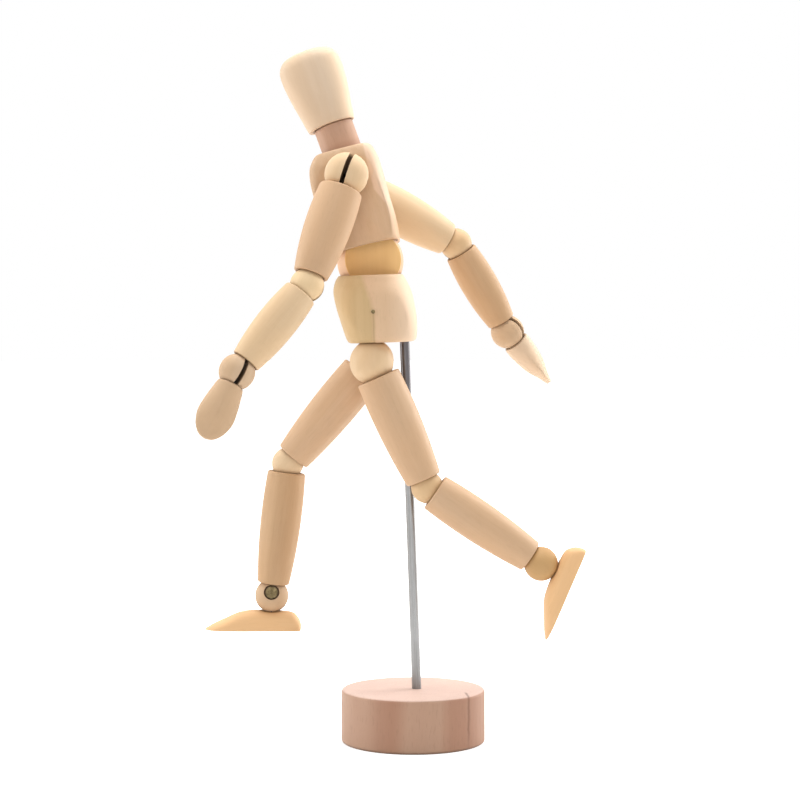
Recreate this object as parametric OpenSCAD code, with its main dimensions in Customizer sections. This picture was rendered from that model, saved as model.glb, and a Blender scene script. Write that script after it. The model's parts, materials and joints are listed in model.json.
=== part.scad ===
// Jointed wooden artist's figure on a round base with a steel rod.
// Millimetres. Z is up, the figure faces -Y and its left side is +X.
// The origin is the centre of the base's underside.

/* [Stand] */
// Diameter of the round base
base_d = 61; // [50:0.5:80]
// Height of the base
base_h = 22.5; // [18:0.5:30]
// Rounding of the base's edges
base_edge = 1.2; // [0.4:0.1:3]
// Diameter of the steel rod
rod_d = 4; // [3:0.1:5]
// Free length of the rod between base and pelvis
rod_free = 148.2; // [146:0.2:180]
// Length of the rod inside the base
rod_in_base = 15; // [8:0.5:16]
// Length of the rod inside the pelvis
rod_in_pelvis = 17; // [8:0.5:18]
// Distance of the rod's hole behind the centre of the base
rod_offset = 1.5; // [0:0.1:4]
// Forward lean of the rod
rod_lean = 2; // [0:0.5:4]

/* [Pelvis and waist] */
// Height of the pelvis block
pelvis_h = 28.3; // [26:0.1:32]
// Width of the pelvis at its lower edge
pelvis_bottom_w = 40; // [38:0.5:46]
// Width of the pelvis at the hips
pelvis_hip_w = 44; // [42:0.5:50]
// Width of the pelvis at its top
pelvis_top_w = 34; // [31:0.5:40]
// Front of the pelvis's lower edge, measured forward from the hip axis
pelvis_low_front = 10.2; // [9.8:0.1:13]
// Front of the belly, measured forward from the hip axis
pelvis_belly = 15.2; // [14:0.1:18]
// Back of the buttocks, measured back from the hip axis
pelvis_back = 19.6; // [18.5:0.1:23]
// Back of the pelvis's top, measured back from the hip axis
pelvis_top_back = 14.8; // [14.4:0.1:16]
// Distance of the rod behind the hip axis
rod_behind = 14.1; // [13:0.1:15]
// Distance of each hip ball from the middle
hip_x = 13; // [12:0.1:15]
// Slope of the two facets on each side of the pelvis
pelvis_facet = 8; // [4:0.5:12]
// Depth of the hip balls' centres below the pelvis
hip_drop = 8.2; // [7.8:0.1:8.8]
// Height of the cross pin above the pelvis's lower face
pelvis_pin_z = 13; // [11:0.1:16]
// Distance of the cross pin behind the hip axis
pelvis_pin_y = 1.5; // [0:0.1:4]
// Diameter of the waist ball
waist_d = 28; // [26:0.2:29]
// Width of the waist ball between its two flat sides
waist_flat_w = 15; // [14:0.2:20]
// Distance of the waist ball behind the hip axis
waist_y = 0.8; // [0:0.1:1.2]
// Height of the waist ball's centre above the pelvis
waist_rise = 5.8; // [5:0.1:7]

/* [Chest] */
// Height of the chest block
chest_h = 41.2; // [39:0.1:46]
// Height of the chest's lower face above the waist ball's centre
chest_rise = 6; // [5.6:0.1:8]
// Width of the chest at its lower edge
chest_bottom_w = 32; // [30:0.5:36]
// Width of the chest at the shoulders
chest_shoulder_w = 39.2; // [38:0.2:39.4]
// Width of the chest's top face
chest_top_w = 33; // [28:0.5:35]
// Front of the breast, measured forward from the waist's centre
chest_breast = 15.8; // [15:0.1:18]
// Front of the chest's lower edge, measured forward
chest_low_front = 13.6; // [13.2:0.1:15]
// Front of the chest's top face, measured forward
chest_top_front = 11.6; // [11:0.1:14]
// Back of the chest's shoulder blades, measured back
chest_back = 14.6; // [14:0.1:17]
// Back of the chest's top face, measured back
chest_top_back = 12.2; // [10:0.1:13]
// Distance of each shoulder ball from the middle
shoulder_x = 27; // [26.9:0.1:29]
// Distance of the shoulder balls behind the waist's centre
shoulder_y = 0.8; // [0:0.1:3]
// Height of the shoulder balls above the waist's centre
shoulder_z = 34.4; // [32:0.1:36]
// Radius of the shallow dish round each shoulder ball
shoulder_dish_r = 55; // [30:0.5:80]
// Distance of the chest's flat sides from the middle at its lower edge
chest_flat_low = 15; // [14:0.1:16]
// Distance of the chest's flat sides from the middle at the shoulders
chest_flat_high = 19; // [18:0.1:19.4]

/* [Neck and head] */
// Diameter of the neck
neck_d = 16.8; // [15:0.1:17.2]
// Radius of the neck's domed ends
neck_dome_r = 9.8; // [9.6:0.1:10]
// Visible height of the neck
neck_gap = 10.1; // [9.6:0.1:11]
// Distance between the centres of the neck's two domes
neck_rise = 2; // [0:0.1:4]
// Distance of the neck in front of the waist's centre
neck_y = 0.6; // [0:0.1:1.5]
// Height of the head
head_h = 33.4; // [31:0.1:37]
// Width of the head seen from the front
head_w = 24.4; // [22:0.2:28]
// Depth of the head from face to back
head_depth = 26.6; // [25:0.2:30]
// Diameter of the head's lower end
head_low_d = 20.6; // [20.4:0.1:22]
// Distance of the head's middle in front of the neck's axis
head_forward = 0.6; // [0:0.1:0.7]
// Height of the head's cross pin above the neck's upper dome centre
head_pin_z = 17; // [15:0.1:20]

/* [Arms] */
// Diameter of the shoulder balls
shoulder_d = 18.2; // [17.6:0.1:18.6]
// Diameter of the elbow balls
elbow_d = 14; // [13.4:0.1:14.6]
// Diameter of the wrist balls
wrist_d = 14.8; // [14.2:0.1:15]
// Length of the upper arm from ball centre to ball centre
upper_arm_len = 50; // [46:0.2:54]
// Length of the forearm from ball centre to ball centre
forearm_len = 45.8; // [43:0.2:50]
// Upper arm's diameter at the shoulder
arm_top_d = 18.2; // [17:0.1:18.6]
// Upper arm's diameter at its middle
arm_mid_d = 19.2; // [18:0.1:19.6]
// Upper arm's diameter at the elbow
arm_low_d = 14.6; // [13:0.1:15]
// Distance of the upper arm's end from the shoulder ball's centre
arm_top_gap = 6.9; // [6.5:0.1:7.6]
// Distance of the upper arm's end from the elbow ball's centre
arm_low_gap = 4.5; // [4.2:0.1:5]
// Forearm's diameter at the elbow
forearm_top_d = 14.2; // [13:0.1:14.8]
// Forearm's diameter at its middle
forearm_mid_d = 16.2; // [15:0.1:17]
// Forearm's diameter at the wrist
forearm_low_d = 12.6; // [11.6:0.1:13.4]
// Distance of the forearm's end from the elbow ball's centre
forearm_top_gap = 4.1; // [3.9:0.1:4.8]
// Distance of the forearm's end from the wrist ball's centre
forearm_low_gap = 5.5; // [5.2:0.1:6]

/* [Hands] */
// Length of the hand from wrist centre to fingertip
hand_len = 30; // [28:0.2:34]
// Width of the hand
hand_w = 15.4; // [14:0.1:17]
// Thickness of the hand at the wrist
hand_thick = 12; // [11:0.1:12.4]
// Thickness of the hand at the fingertip
hand_tip_thick = 2.6; // [2:0.1:4]
// Distance of the hand's end from the wrist ball's centre
hand_gap = 5.7; // [5.4:0.1:6.2]

/* [Legs] */
// Diameter of the hip balls
hip_d = 18.4; // [17.8:0.1:18.8]
// Diameter of the knee balls
knee_d = 13.6; // [13:0.1:14]
// Diameter of the ankle balls
ankle_d = 14.4; // [14:0.1:14.8]
// Length of the thigh from ball centre to ball centre
thigh_len = 57.2; // [55:0.2:60]
// Length of the shin from ball centre to ball centre
shin_len = 57.6; // [54:0.2:59]
// Thigh's diameter at the hip
thigh_top_d = 18.6; // [17.4:0.1:19]
// Thigh's diameter at its middle
thigh_mid_d = 18.8; // [17.6:0.1:19.4]
// Thigh's diameter at the knee
thigh_low_d = 15.2; // [14.4:0.1:16.2]
// Distance of the thigh's end from the hip ball's centre
thigh_top_gap = 6.7; // [6.4:0.1:7.4]
// Distance of the thigh's end from the knee ball's centre
thigh_low_gap = 3.6; // [3.4:0.1:4.2]
// Shin's diameter below the knee
shin_top_d = 16.2; // [15:0.1:17]
// Shin's diameter at the calf
shin_mid_d = 17.2; // [16:0.1:18.4]
// Shin's diameter at the ankle
shin_low_d = 13.8; // [12.8:0.1:14.4]
// Distance of the shin's end from the knee ball's centre
shin_top_gap = 3.8; // [3.5:0.1:4.4]
// Distance of the shin's end from the ankle ball's centre
shin_low_gap = 5.4; // [5.1:0.1:5.8]

/* [Feet] */
// Length of the foot
foot_len = 41; // [38:0.2:46]
// Width of the foot at its ball
foot_w = 14.8; // [13:0.1:17]
// Width of the foot's heel
foot_heel_w = 12; // [10.4:0.1:14]
// Height of the instep
foot_h = 8.2; // [8:0.1:8.8]
// Thickness of the toe
foot_toe_h = 0.9; // [0.7:0.1:2]
// Distance of the ankle's centre in front of the heel
foot_heel = 12.6; // [11:0.1:14]
// Height of the ankle's centre above the sole
ankle_h = 14.8; // [14.2:0.1:15.4]

/* [Hardware] */
// Diameter of the cross pins
pin_d = 1.6; // [1.2:0.1:1.8]
// Diameter of the ankle screws' heads
screw_head_d = 5.2; // [4.6:0.1:6]
// Thickness of the ankle screws' heads
screw_head_h = 1.3; // [1:0.1:1.6]
// Width of the screwdriver slot in the ankle screws
screw_slot_w = 1; // [0.6:0.1:1.4]
// Diameter of the spring wire
wire_d = 0.7; // [0.5:0.05:0.75]
// Diameter of the spring coils at the wire's middle
coil_d = 3.2; // [2.6:0.1:3.4]
// Width of the saw cut in the balls
slot_w = 2; // [1.9:0.05:2.4]
// Diameter of the bores that hold the springs
spring_bore_d = 5; // [4.9:0.1:5.6]

/* [Fits] */
// Gap between a ball and its cup
cup_gap = 0.3; // [0.2:0.05:0.4]
// Gap between rod and pelvis, measured on the radius
rod_gap = 0.05; // [0.02:0.01:0.1]
// Gap round pieces that are driven in, measured on the radius
drive_gap = 0.02; // [0.01:0.01:0.04]
// Gap between an eye and its pin, measured on the radius
eye_gap = 0.15; // [0.1:0.05:0.2]

/* [Pose] */
// Turn of the pelvis on the rod
pose_pelvis = -5; // [-180:1:180]
// Sideways lean of the waist
pose_lean = -5; // [-15:1:15]
// Turn of the waist's sawn sides
pose_waist = 10; // [-30:1:30]
// Forward bend of the chest
pose_bend = 12; // [-20:0.2:25]
// Turn of the chest
pose_turn = -4; // [-45:1:45]
// Nod of the neck
pose_nod = 6; // [-20:1:25]
// Turn of the head
pose_head = 0; // [-60:1:60]
// Swing of the left arm, back is positive
pose_left_swing = -32; // [-150:1:60]
// Swing of the right arm, back is positive
pose_right_swing = 47.6; // [-150:0.2:60]
// Sideways lift of the left arm
pose_left_lift = 13; // [12:0.5:80]
// Sideways lift of the right arm
pose_right_lift = 18; // [12:0.5:80]
// Bend of the left elbow, forward is negative
pose_left_elbow = -19; // [-44:1:44]
// Bend of the right elbow, forward is negative
pose_right_elbow = -30; // [-44:1:44]
// Tilt of the left hand in its socket
pose_left_wrist = 13; // [0:1:15]
// Tilt of the right hand in its socket
pose_right_wrist = 9; // [0:1:15]
// Turn of the left wrist ball
pose_left_palm = 118; // [0:1:180]
// Turn of the right wrist ball
pose_right_palm = -42; // [-180:1:0]
// Turn of the left hand on its eye screw
pose_left_grip = -20; // [-60:1:60]
// Turn of the right hand on its eye screw
pose_right_grip = 38; // [-60:1:60]
// Swing of the left thigh, back is positive
pose_left_thigh = 22; // [-70:0.5:45]
// Swing of the right thigh, back is positive
pose_right_thigh = -41.5; // [-70:0.5:45]
// Bend of the left knee, back is positive
pose_left_knee = 32; // [-44:0.5:44]
// Bend of the right knee, back is positive
pose_right_knee = 32.5; // [-44:0.5:44]
// Bend of the left foot, toes down is positive
pose_left_foot = 10.5; // [-35:0.5:35]
// Bend of the right foot, toes down is positive
pose_right_foot = 6.5; // [-35:0.5:35]
// Roll of the right ankle ball, which turns its screw upward
pose_right_roll = 20; // [0:1:20]

/* [Hidden] */
$fn = 64;
tiny = 0.01;
over = 1;
// Room beside an eye, at the end of a saw cut, round a spring's leg and at the end of a hole
eye_play = 0.12;
slot_play = 0.35;
leg_play = 0.55;
end_play = 0.3;
// Straight wire between an eye and its coil, and the wire's distance from a ball
eye_leg = 1.2;
ball_clear = 0.6;
// Start of the hip springs' coils below their eyes, and of the spine's bend above the chest's lower face
hip_lead = 6;
belly_rise = 8;
// Depth of the ridge between the pelvis's facets below its full width
facet_depth = 0.6;
// Step between a shoulder's cup and its dish
dish_step = 0.2;
// Depth of a pin's end below the surface, wood left past its blind end
pin_sink = 1.2;
pin_blind = 2;
// Depth of the pelvis pin's seen end below the facets' ridge
pin_flush = 0.4;
wire_sides = 4;
turn_steps = 8;
straight_steps = 4;
step = 0.002;
wood_pale = [0.90, 0.76, 0.60];
wood_tan = [0.84, 0.66, 0.47];
wood_pink = [0.82, 0.64, 0.52];
steel = [0.62, 0.62, 0.64];

shoulder_r = shoulder_d / 2;
elbow_r = elbow_d / 2;
wrist_r = wrist_d / 2;
hip_r = hip_d / 2;
knee_r = knee_d / 2;
ankle_r = ankle_d / 2;
waist_r = waist_d / 2;
pin_r = pin_d / 2;
wire_r = wire_d / 2;
coil_r = coil_d / 2;
eye_r = pin_r + eye_gap + wire_r;
eye_side = wire_r + eye_play;
slot_past = eye_r + wire_r + slot_play;
leg_bore_r = eye_side + wire_r + leg_play;
limb_edge = 0.9;
bore_r = spring_bore_d / 2;
waist_z = pelvis_h + waist_rise;
chest_top = chest_rise + chest_h;
neck_z = chest_top + neck_gap / 2;
// Groove between neck and head
head_seam = 0.5;
head_base = neck_gap / 2 + head_seam;
spine_bore_r = bore_r + 0.9;
hip_bore_r = bore_r + end_play;
// Room above and below the pelvis's pin for the eyes, and the pin's two ends
pin_room = eye_r + wire_r + end_play;
pelvis_pin_end = pin_sink + pin_blind - pelvis_hip_w / 2;
pelvis_pin_top = pelvis_hip_w / 2 - facet_depth - pin_flush;
// Widening of the waist's bore at its ends, so that the spring can bend
spine_flare = 2;
// Depth of the head pin's end below the head's width, and wood left past its blind end
head_pin_sink = 2;
head_pin_blind = 3.6;
// Length of the eye screws' shanks below the pin, and depth of the ankle screws' heads
hand_shank = 17;
foot_shank = 12.2;
screw_sink = 1.2;
screw_seat = ankle_r - screw_sink - screw_head_h;
screw_play = 0.75;
shoulder_floor = shoulder_x - shoulder_r - cup_gap;

function pick(s, left, right) = s > 0 ? left : right;

// Placing matrices
function shift(v) = [[1, 0, 0, v[0]], [0, 1, 0, v[1]], [0, 0, 1, v[2]], [0, 0, 0, 1]];
function turn_x(a) = [[1, 0, 0, 0], [0, cos(a), -sin(a), 0], [0, sin(a), cos(a), 0], [0, 0, 0, 1]];
function turn_y(a) = [[cos(a), 0, sin(a), 0], [0, 1, 0, 0], [-sin(a), 0, cos(a), 0], [0, 0, 0, 1]];
function turn_z(a) = [[cos(a), -sin(a), 0, 0], [sin(a), cos(a), 0, 0], [0, 0, 1, 0], [0, 0, 0, 1]];
function point_in(m, p) = let (q = m * [p[0], p[1], p[2], 1]) [q[0], q[1], q[2]];
function way_in(m, d) = let (q = m * [d[0], d[1], d[2], 0]) [q[0], q[1], q[2]];

rod_at = shift([0, rod_offset, base_h]) * turn_x(rod_lean);
pelvis_at = rod_at * shift([0, 0, rod_free]) * turn_z(pose_pelvis) * shift([0, -rod_behind, 0]);
waist_at = pelvis_at * shift([0, waist_y, waist_z]) * turn_y(pose_lean);
spine_at = waist_at * turn_x(pose_bend);
chest_at = spine_at * turn_z(pose_turn);
neck_at = chest_at * shift([0, -neck_y, neck_z]) * turn_x(pose_nod);
head_at = neck_at * shift([0, 0, neck_rise]) * turn_z(pose_head);

function shoulder_at(s) = chest_at * shift([s * shoulder_x, shoulder_y, shoulder_z])
    * turn_x(pick(s, pose_left_swing, pose_right_swing));
function upper_arm_at(s) = shoulder_at(s) * turn_y(-s * pick(s, pose_left_lift, pose_right_lift));
function elbow_at(s) = upper_arm_at(s) * shift([0, 0, -upper_arm_len]);
function forearm_at(s) = elbow_at(s) * turn_x(pick(s, pose_left_elbow, pose_right_elbow));
function wrist_tilt(s) = turn_x(pick(s, pose_left_wrist, pose_right_wrist))
    * turn_z(pick(s, pose_left_palm, pose_right_palm));
function wrist_at(s) = forearm_at(s) * shift([0, 0, -forearm_len]) * wrist_tilt(s);
function hand_grip(s) = pick(s, pose_left_grip, pose_right_grip);
function hand_at(s) = wrist_at(s) * turn_z(hand_grip(s));
function hip_at(s) = pelvis_at * shift([s * hip_x, 0, -hip_drop]);
function thigh_at(s) = hip_at(s) * turn_x(pick(s, pose_left_thigh, pose_right_thigh));
function knee_at(s) = thigh_at(s) * shift([0, 0, -thigh_len]);
function shin_at(s) = knee_at(s) * turn_x(pick(s, pose_left_knee, pose_right_knee));
function ankle_roll(s) = pick(s, 0, -pose_right_roll);
function ankle_at(s) = shin_at(s) * shift([0, 0, -shin_len]) * turn_y(ankle_roll(s));
function foot_bend(s) = pick(s, pose_left_foot, pose_right_foot);
function foot_at(s) = ankle_at(s) * turn_y(-ankle_roll(s)) * turn_x(foot_bend(s));
function foot_eye_at(s) = ankle_at(s) * turn_x(foot_bend(s));

// Smooth curve through a list of rows, u from 0 to 1
function row(list, i) = list[max(0, min(len(list) - 1, i))];
function blend(a, b, c, d, t) = 0.5 * (2 * b + (c - a) * t + (2 * a - 5 * b + 4 * c - d) * t * t
    + (3 * b - a - 3 * c + d) * t * t * t);
function along(list, u) = let (n = len(list) - 1, k = min(n - 1, floor(u * n)), t = u * n - k)
    blend(row(list, k - 1), row(list, k), row(list, k + 1), row(list, k + 2), t);

// Carved block: each station is height, half width, front, back and squareness
function power(v, e) = sign(v) * pow(abs(v), e);
function section(st, count) = [for (i = [0:count - 1]) let (a = 360 * i / count, e = 2 / st[4])
    [st[1] * power(cos(a), e), (st[2] + st[3]) / 2 + (st[3] - st[2]) / 2 * power(sin(a), e), st[0]]];

module carved(stations, count = 36, steps = 18) {
    points = [for (k = [0:steps]) each section(along(stations, k / steps), count)];
    sides = [for (k = [0:steps - 1], i = [0:count - 1]) let (j = (i + 1) % count)
        [k * count + i, (k + 1) * count + i, (k + 1) * count + j, k * count + j]];
    low = [for (i = [0:count - 1]) i];
    high = [for (i = [count - 1:-1:0]) steps * count + i];
    polyhedron(points, concat([low, high], sides));
}

// Wire piece: rings of points carried along a list of places with two side directions
module wire(places, r) {
    n = len(places);
    points = [for (p = places, i = [0:wire_sides - 1])
        p[0] + r * (cos(360 * i / wire_sides) * p[1] + sin(360 * i / wire_sides) * p[2])];
    sides = [for (k = [0:n - 2], i = [0:wire_sides - 1]) let (j = (i + 1) % wire_sides)
        each [[k * wire_sides + i, (k + 1) * wire_sides + i, (k + 1) * wire_sides + j],
              [k * wire_sides + i, (k + 1) * wire_sides + j, k * wire_sides + j]]];
    first = [for (i = [0:wire_sides - 1]) i];
    last = [for (i = [wire_sides - 1:-1:0]) (n - 1) * wire_sides + i];
    polyhedron(points, concat([first, last], sides));
}

function unit(v) = v / norm(v);
function square_to(v, t) = unit(v - (v * t) * t);
function eye_places(c, a, p) = let (b = cross(p, a)) concat(
    [for (g = [-300:30:-30]) [c + eye_r * (cos(g) * a + sin(g) * b), p, cos(g) * a + sin(g) * b]],
    [[c + eye_r * a, p, a - b]]);
function turned_back(places) = [for (i = [len(places) - 1:-1:0])
    [places[i][0], places[i][1], -places[i][2]]];
function lobe(u, a, b) = let (ramp = (b - a) / 8) max(0, min(1, (u - a) / ramp, (b - u) / ramp));
function coil_size(u, lobes) = max([for (l = lobes) lobe(u, l[0], l[1])]);
function total(list, i = 0) = i < len(list) ? list[i] + total(list, i + 1) : 0;
function axis_spot(axis, u) = let (n = len(axis) - 1, k = max(0, min(n - 1, floor(u * n))), t = u * n - k)
    axis[k] * (1 - t) + axis[k + 1] * t;
function axis_way(axis, u) = unit(axis_spot(axis, u + step) - axis_spot(axis, u - step));
function share(u, l) = max(0, min(1, (u - l[0]) / (l[1] - l[0]))) * (l[1] - l[0]);
function wound(u, lobes) = total([for (l = lobes) share(u, l)]) / total([for (l = lobes) share(1, l)]);
function coil_stops(lobes) = concat([0], [for (l = lobes) each l], [1]);
function coil_steps(lobes, turns) = let (s = coil_stops(lobes), all = total([for (l = lobes) l[1] - l[0]]))
    concat([0], [for (k = [0:len(s) - 2]) let (long = s[k + 1] - s[k],
        count = k % 2 == 1 ? ceil(turns * turn_steps * long / all) : straight_steps)
        each [for (i = [1:count]) s[k] + long * i / count]]);
function coil_spot(axis, u, spin, ref, lobes) = let (t = axis_way(axis, u), n1 = square_to(ref, t),
    g = spin * wound(u, lobes), d = cos(g) * n1 + sin(g) * cross(t, n1))
    [axis_spot(axis, u) + coil_r * coil_size(u, lobes) * d, d];
function coil_places(axis, spin, ref, lobes, turns) = [for (u = coil_steps(lobes, turns)) let (
    here = coil_spot(axis, u, spin, ref, lobes),
    t = unit(coil_spot(axis, u + step, spin, ref, lobes)[0]
        - coil_spot(axis, u - step, spin, ref, lobes)[0]),
    d = square_to(here[1], t))
    [here[0], d, cross(t, d)]];

// Spring with an eye at both ends: centre, way toward the coil and pin direction of each eye
module spring(c1, a1, p1, c2, a2, p2, middle, lobes, turns) {
    leg = eye_r + eye_leg;
    axis = concat([c1 + leg * a1], middle, [c2 + leg * a2]);
    t2 = axis_way(axis, 1);
    n2 = square_to(p1, t2);
    rest = atan2(p2 * cross(t2, n2), p2 * n2);
    spin = 360 * turns + rest;
    wire(concat(eye_places(c1, a1, p1), coil_places(axis, spin, p1, lobes, turns),
        turned_back(eye_places(c2, a2, p2))), wire_r);
}

// Turned limb hanging from the ball above, with a cup at each end and a bore for its spring
function limb_bulge(t, top, mid, low) = let (m = 2 * mid - (top + low) / 2)
    top * (1 - t) * (1 - t) + 2 * m * t * (1 - t) + low * t * t;

module limb(length, top_gap, low_gap, top_d, mid_d, low_d, top_ball, low_ball) {
    top_r = top_d / 2;
    low_r = low_d / 2;
    z1 = -top_gap;
    z2 = -(length - low_gap);
    span = z1 - z2;
    barrel = [for (k = [0:12]) let (t = k / 12)
        [limb_bulge(t, top_r, mid_d / 2, low_r), z1 - limb_edge - t * (span - 2 * limb_edge)]];
    e = limb_edge;
    upper = [for (g = [0:15:75]) [top_r - e + e * sin(g), z1 - e + e * cos(g)]];
    lower = [for (g = [75:-15:0]) [low_r - e + e * sin(g), z2 + e - e * cos(g)]];
    difference() {
        rotate_extrude() polygon(concat([[0, z1]], upper, barrel, lower, [[0, z2]]));
        sphere(r = top_ball + cup_gap);
        translate([0, 0, -length]) sphere(r = low_ball + cup_gap);
        translate([0, 0, z2 - over]) cylinder(r = bore_r, h = span + 2 * over);
    }
}

// Ball with a saw cut for the eyes, a bore for the wire above and a blind hole for its pin
module slotted_ball(r, past, driven = -1) {
    difference() {
        sphere(r = r);
        translate([-slot_w / 2, -r - over, -r - over]) cube([slot_w, 2 * (r + over), r + over + past]);
        cylinder(r = leg_bore_r, h = r + over);
        pin_hole(r, driven);
    }
}

module pin_hole(r, driven) {
    rotate([0, 90 * driven, 0]) translate([0, 0, -r + pin_blind])
        cylinder(r = pin_r + drive_gap, h = 2 * r);
}

module cross_pin(r, driven = -1) {
    rotate([0, 90 * driven, 0]) translate([0, 0, -r + pin_blind + tiny])
        cylinder(r = pin_r, h = 2 * r - pin_blind - pin_sink);
}

// Limb spring from the pin above to the pin below
module limb_spring(length, top_pin, low_way, low_pin, top_ball, low_ball, turns) {
    c1 = eye_side * top_pin;
    c2 = [0, 0, -length] - eye_side * low_pin;
    inside = [0, 0, -top_ball - over];
    above = [0, 0, low_ball + coil_d - length];
    outside = [0, 0, -length] + (low_ball + ball_clear) * unit(1.4 * low_way + [0, 0, 1]);
    color(steel) spring(c1, [0, 0, -1], top_pin, c2, low_way, low_pin,
        [inside, above, outside], [[0.26, 0.5]], turns);
}

// Eye screw: a ring on the pin and a shank driven into the piece below
module eye_screw(shank) {
    translate([eye_side, 0, 0]) rotate([0, 90, 0]) rotate_extrude() translate([eye_r, 0])
        circle(r = wire_r, $fn = 24);
    translate([eye_side, 0, -shank]) cylinder(r = wire_r, h = shank - eye_r);
}

module shank_hole(shank) {
    translate([eye_side, 0, -shank - end_play]) cylinder(r = wire_r + drive_gap, h = shank);
}

// Stand

module base() {
    h = base_h;
    r = base_d / 2;
    e = base_edge;
    color(wood_pink) difference() {
        rotate_extrude($fn = 128) polygon(concat([[0, 0]],
            [for (g = [0:15:90]) [r - e + e * sin(g), e - e * cos(g)]],
            [for (g = [90:-15:0]) [r - e + e * sin(g), h - e + e * cos(g)]],
            [[0, h]]));
        multmatrix(rod_at) translate([0, 0, -rod_in_base - tiny])
            cylinder(r = rod_d / 2 + drive_gap, h = rod_in_base + rod_d);
    }
}

module stand_rod() {
    color(steel) multmatrix(rod_at) translate([0, 0, -rod_in_base])
        cylinder(r = rod_d / 2, h = rod_in_base + rod_free + rod_in_pelvis);
}

// Torso

module pelvis() {
    h = pelvis_h;
    b = pelvis_bottom_w / 2;
    w = pelvis_hip_w / 2;
    t = pelvis_top_w / 2;
    stations = [
        [0, b - 1.8, 1.4 - pelvis_low_front, pelvis_back - 2, 3.4],
        [1.4, b, -pelvis_low_front, pelvis_back - 0.4, 3.6],
        [0.3 * h, w - 0.2, -pelvis_low_front - 2.2, pelvis_back, 3.6],
        [0.55 * h, w - 0.4, -pelvis_belly + 0.9, pelvis_back - 0.7, 3.4],
        [0.76 * h, (w + t) / 2 + 0.8, -pelvis_belly, pelvis_top_back + 2.8, 3],
        [0.9 * h, t + 0.9, -pelvis_belly + 0.7, pelvis_top_back + 1, 2.8],
        [h - 0.9, t, -pelvis_belly + 1.7, pelvis_top_back, 2.8],
        [h, t - 1, -pelvis_belly + 2.4, pelvis_top_back - 0.7, 2.8]];
    color(wood_tan) multmatrix(pelvis_at) difference() {
        carved(stations, 36, 20);
        for (s = [-1, 1], g = [-1, 1]) translate([s * (w - facet_depth), pelvis_pin_y, -over])
            rotate([0, 0, s * g * pelvis_facet]) translate([s > 0 ? 0 : -w, -pelvis_hip_w, 0])
            cube([w, 2 * pelvis_hip_w, h + 2 * over]);
        translate([0, waist_y, waist_z]) sphere(r = waist_r + cup_gap);
        translate([0, rod_behind, -over])
            cylinder(r = rod_d / 2 + rod_gap, h = rod_in_pelvis + end_play + over);
        for (s = [-1, 1]) {
            translate([s * hip_x, 0, -hip_drop]) sphere(r = hip_r + cup_gap);
            translate([s * hip_x, pelvis_pin_y / 2, -over])
                cylinder(r = hip_bore_r, h = pelvis_pin_z + pin_room + over);
        }
        translate([0, waist_y, pelvis_pin_z - pin_room]) cylinder(r = spine_bore_r, h = pelvis_h);
        translate([pelvis_pin_end - tiny, pelvis_pin_y, pelvis_pin_z]) rotate([0, 90, 0])
            cylinder(r = pin_r + drive_gap, h = pelvis_hip_w);
    }
}

module pelvis_pin() {
    color(steel) multmatrix(pelvis_at) translate([pelvis_pin_end, pelvis_pin_y, pelvis_pin_z])
        rotate([0, 90, 0]) cylinder(r = pin_r, h = pelvis_pin_top - pelvis_pin_end);
}

module hip_springs() {
    top = [0, pelvis_pin_y, pelvis_pin_z];
    low = [0, 0, -hip_drop];
    up = unit(top - low);
    color(steel) multmatrix(pelvis_at) for (s = [-1, 1]) translate([s * hip_x, 0, 0])
        spring(top, -up, [1, 0, 0], low - [eye_side, 0, 0], [0, 0, 1], [1, 0, 0],
            [top - up * hip_lead, low + [0, 0, hip_r + over]], [[0.2, 0.66]], 3);
}

module waist() {
    color(wood_tan) multmatrix(waist_at) difference() {
        intersection() {
            sphere(r = waist_r);
            rotate([0, 0, pose_waist]) cube([waist_flat_w, 2 * waist_d, 2 * waist_d], center = true);
        }
        translate([0, 0, -waist_d]) cylinder(r = spine_bore_r, h = 2 * waist_d);
        for (s = [0, 180]) rotate([s, 0, 0]) translate([0, 0, waist_r / 3])
            cylinder(r1 = spine_bore_r, r2 = spine_bore_r + spine_flare, h = waist_r);
    }
}

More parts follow.
